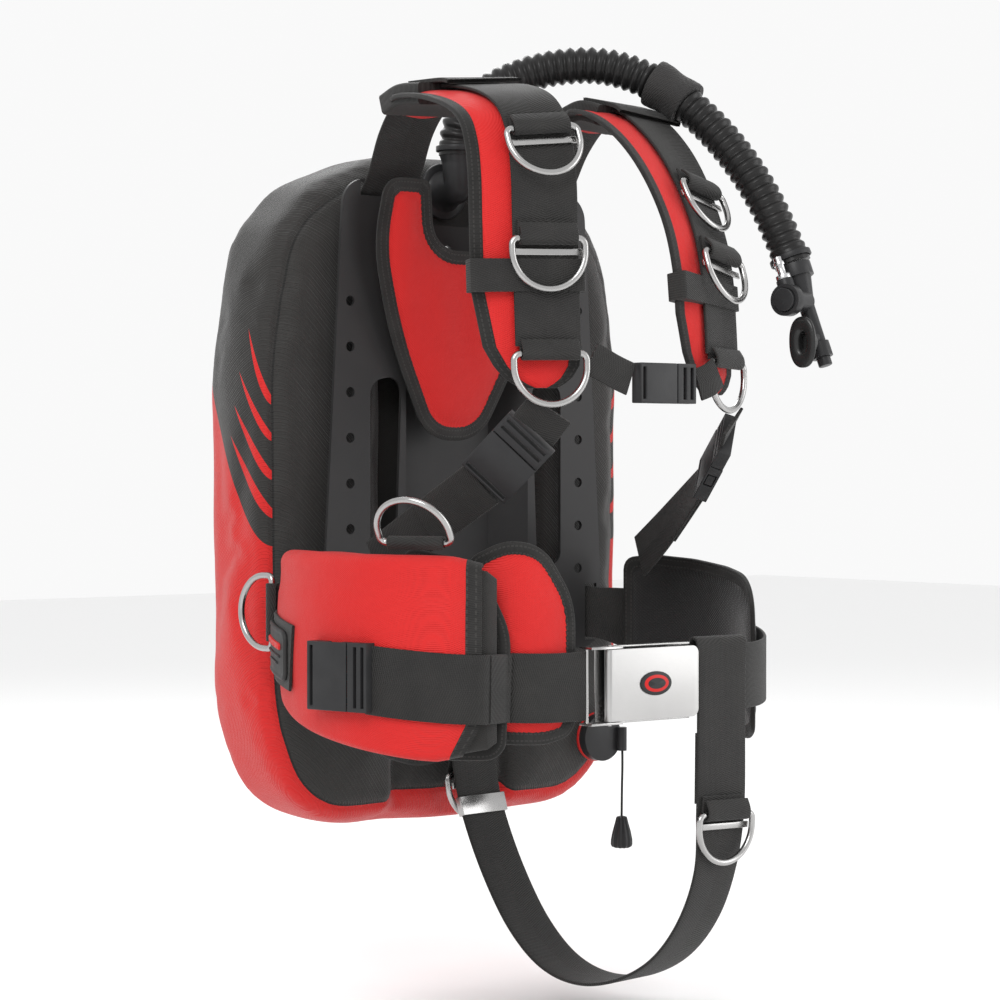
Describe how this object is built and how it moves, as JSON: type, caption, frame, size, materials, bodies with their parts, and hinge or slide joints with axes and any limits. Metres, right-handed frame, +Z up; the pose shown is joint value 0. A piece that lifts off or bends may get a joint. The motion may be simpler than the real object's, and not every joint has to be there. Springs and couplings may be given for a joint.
{
  "type": "buoyancy compensator vest",
  "caption": "Wing-style diving buoyancy vest with steel backplate, padded webbing harness, weight pocket, inflator hose and tank bolt holes.",
  "frame": {"origin": "midway between the two tank bolt holes, inside the floor of the backplate channel", "axes": "+X to the wearer's left, +Y backwards towards the tank, +Z up"},
  "size_m": [0.4289, 0.3611, 0.7468],
  "materials": {
    "black_webbing": "woven",
    "black_fabric": "woven nylon",
    "red_fabric": "woven nylon",
    "red_padding": "padded, black edge binding",
    "black_padding": "padded, black edge binding",
    "bladder_film": "coated film",
    "plate_metal": "dark coated sheet",
    "stainless": "polished",
    "black_plastic": "moulded",
    "valve_plastic": "moulded",
    "hose_rubber": "glossy corrugated",
    "black_rubber": "moulded",
    "chrome": "plated",
    "cord": "braided"
  },
  "bodies": {
    "ring_upper_right_body": {"ring_upper_right": "stainless"},
    "ring_middle_right_body": {"ring_middle_right": "stainless"},
    "ring_upper_left_body": {"ring_upper_left": "stainless"},
    "ring_middle_left_body": {"ring_middle_left": "stainless"},
    "ring_pocket_rear_body": {"ring_pocket_rear": "stainless"},
    "ring_pocket_top_body": {"ring_pocket_top": "stainless"},
    "ring_crotch_rear_body": {"ring_crotch_rear": "stainless"},
    "ring_crotch_front_body": {"ring_crotch_front": "stainless"},
    "pocket_buckle_latch_a_body": {"pocket_buckle_latch_a": "black_plastic"},
    "pocket_buckle_latch_b_body": {"pocket_buckle_latch_b": "black_plastic"},
    "shoulder_buckle_left_latch_a_body": {"shoulder_buckle_left_latch_a": "black_plastic"},
    "shoulder_buckle_left_latch_b_body": {"shoulder_buckle_left_latch_b": "black_plastic"},
    "shoulder_buckle_right_latch_a_body": {"shoulder_buckle_right_latch_a": "black_plastic"},
    "shoulder_buckle_right_latch_b_body": {"shoulder_buckle_right_latch_b": "black_plastic"},
    "sternum_buckle_latch_a_body": {"sternum_buckle_latch_a": "black_plastic"},
    "sternum_buckle_latch_b_body": {"sternum_buckle_latch_b": "black_plastic"},
    "waist_lever_body": {"waist_lever": "stainless"},
    "inflate_button_body": {"inflate_button": "black_plastic"},
    "deflate_button_body": {"deflate_button": "black_plastic"},
    "dump_pull_body": {"dump_cord": "cord", "dump_knob": "black_plastic"},
    "vest": {"back_pad": "red_padding", "backplate": "plate_metal", "belt_webbing_left": "black_webbing", "belt_webbing_right": "black_webbing", "buckle_plugs": "black_plastic", "buckle_sockets": "black_plastic", "crotch_strap": "black_webbing", "dump_valve": "valve_plastic", "hip_pad_left": "black_padding", "hip_pad_right": "black_padding", "hose_clamps": "black_plastic", "hose_keeper": "black_webbing", "inflator_body": "black_plastic", "inflator_elbow": "black_plastic", "inflator_hose": "hose_rubber", "lower_straps": "black_webbing", "mouthpiece": "black_rubber", "pad_bands": "black_webbing", "pocket_backing": "red_padding", "pocket_patch": "black_rubber", "pocket_straps": "black_webbing", "quick_connect": "chrome", "ring_rolls": "black_webbing", "rings_lower": "stainless", "shoulder_pad_left": "red_padding", "shoulder_pad_right": "red_padding", "shoulder_webbing_left": "black_webbing", "shoulder_webbing_right": "black_webbing", "slide_bars": "stainless", "sternum_straps": "black_webbing", "waist_buckle": "stainless", "waist_pin": "stainless", "weight_pocket": "red_fabric", "weight_pouch": "black_fabric", "wing_back_panel": "black_fabric", "wing_bladder": "bladder_film", "wing_front_panel": "black_fabric", "wing_grommets": "stainless", "wing_gusset": "red_fabric"}
  },
  "joints": [
    {"name": "ring_upper_right_swing", "type": "hinge", "parent": "vest", "child": "ring_upper_right_body", "pos_m": [-0.09431, -0.24397, 0.20992], "axis": [-0.9561, 0.277, -0.0953], "range_deg": [0, 150]},
    {"name": "ring_middle_right_swing", "type": "hinge", "parent": "vest", "child": "ring_middle_right_body", "pos_m": [-0.0947, -0.25297, 0.12836], "axis": [-0.9397, 0.3417, -0.0159], "range_deg": [0, 150]},
    {"name": "ring_upper_left_swing", "type": "hinge", "parent": "vest", "child": "ring_upper_left_body", "pos_m": [0.08957, -0.21409, 0.17951], "axis": [-0.9559, -0.2393, 0.1703], "range_deg": [0, 150]},
    {"name": "ring_middle_left_swing", "type": "hinge", "parent": "vest", "child": "ring_middle_left_body", "pos_m": [0.08806, -0.24013, 0.12478], "axis": [-0.9451, -0.2934, 0.144], "range_deg": [0, 150]},
    {"name": "ring_pocket_rear_swing", "type": "hinge", "parent": "vest", "child": "ring_pocket_rear_body", "pos_m": [-0.201, -0.048, -0.149], "axis": [0, 0, 1], "range_deg": [0, 110]},
    {"name": "ring_pocket_top_swing", "type": "hinge", "parent": "vest", "child": "ring_pocket_top_body", "pos_m": [-0.18499, -0.21393, -0.0924], "axis": [0.4914, -0.8709, 0], "range_deg": [0, 60]},
    {"name": "ring_crotch_rear_swing", "type": "hinge", "parent": "vest", "child": "ring_crotch_rear_body", "pos_m": [0.0081, -0.02082, -0.28859], "axis": [0.9819, 0.1892, -0.0053], "range_deg": [0, 15]},
    {"name": "ring_crotch_front_swing", "type": "hinge", "parent": "vest", "child": "ring_crotch_front_body", "pos_m": [0.06726, -0.26762, -0.30228], "axis": [-0.9988, -0.0409, 0.0271], "range_deg": [0, 150]},
    {"name": "pocket_buckle_latch_a_press", "type": "hinge", "parent": "vest", "child": "pocket_buckle_latch_a_body", "pos_m": [-0.22105, -0.18276, -0.2065], "axis": [0.9712, 0.2383, 0], "range_deg": [0, 8], "stiffness_Nm_per_rad": 2},
    {"name": "pocket_buckle_latch_b_press", "type": "hinge", "parent": "vest", "child": "pocket_buckle_latch_b_body", "pos_m": [-0.22105, -0.18276, -0.172], "axis": [-0.9712, -0.2383, 0], "range_deg": [0, 8], "stiffness_Nm_per_rad": 2},
    {"name": "shoulder_buckle_left_latch_a_press", "type": "hinge", "parent": "vest", "child": "shoulder_buckle_left_latch_a_body", "pos_m": [0.09278, -0.229, -0.03448], "axis": [0.7988, -0.5034, -0.3293], "range_deg": [0, 8], "stiffness_Nm_per_rad": 2},
    {"name": "shoulder_buckle_left_latch_b_press", "type": "hinge", "parent": "vest", "child": "shoulder_buckle_left_latch_b_body", "pos_m": [0.10897, -0.21613, -0.01487], "axis": [-0.7988, 0.5034, 0.3293], "range_deg": [0, 8], "stiffness_Nm_per_rad": 2},
    {"name": "shoulder_buckle_right_latch_a_press", "type": "hinge", "parent": "vest", "child": "shoulder_buckle_right_latch_a_body", "pos_m": [-0.10897, -0.21613, -0.01487], "axis": [-0.7988, -0.5034, -0.3293], "range_deg": [0, 8], "stiffness_Nm_per_rad": 2},
    {"name": "shoulder_buckle_right_latch_b_press", "type": "hinge", "parent": "vest", "child": "shoulder_buckle_right_latch_b_body", "pos_m": [-0.09278, -0.229, -0.03448], "axis": [0.7988, 0.5034, 0.3293], "range_deg": [0, 8], "stiffness_Nm_per_rad": 2},
    {"name": "sternum_buckle_latch_a_press", "type": "hinge", "parent": "vest", "child": "sternum_buckle_latch_a_body", "pos_m": [0.016, -0.264, 0.01725], "axis": [0, 1, 0], "range_deg": [0, 8], "stiffness_Nm_per_rad": 2},
    {"name": "sternum_buckle_latch_b_press", "type": "hinge", "parent": "vest", "child": "sternum_buckle_latch_b_body", "pos_m": [0.016, -0.264, 0.03175], "axis": [0, -1, 0], "range_deg": [0, 8], "stiffness_Nm_per_rad": 2},
    {"name": "waist_lever_open", "type": "hinge", "parent": "vest", "child": "waist_lever_body", "pos_m": [-0.046, -0.264, -0.199], "axis": [0, 0, -1], "range_deg": [0, 120]},
    {"name": "inflate_press", "type": "slide", "parent": "vest", "child": "inflate_button_body", "axis": [0.9563, 0.2924, 0], "range_m": [0, 0.0025], "stiffness_N_per_m": 800},
    {"name": "deflate_press", "type": "slide", "parent": "vest", "child": "deflate_button_body", "axis": [-0.1, 0.3271, 0.9397], "range_m": [0, 0.0025], "stiffness_N_per_m": 800},
    {"name": "dump_pull", "type": "slide", "parent": "vest", "child": "dump_pull_body", "axis": [0, 0, -1], "range_m": [0, 0.01], "stiffness_N_per_m": 400}
  ],
  "couplings": [
    {"joint": "pocket_buckle_latch_b_press", "follows": "pocket_buckle_latch_a_press", "ratio": 1},
    {"joint": "shoulder_buckle_left_latch_b_press", "follows": "shoulder_buckle_left_latch_a_press", "ratio": 1},
    {"joint": "shoulder_buckle_right_latch_b_press", "follows": "shoulder_buckle_right_latch_a_press", "ratio": 1},
    {"joint": "sternum_buckle_latch_b_press", "follows": "sternum_buckle_latch_a_press", "ratio": 1}
  ]
}
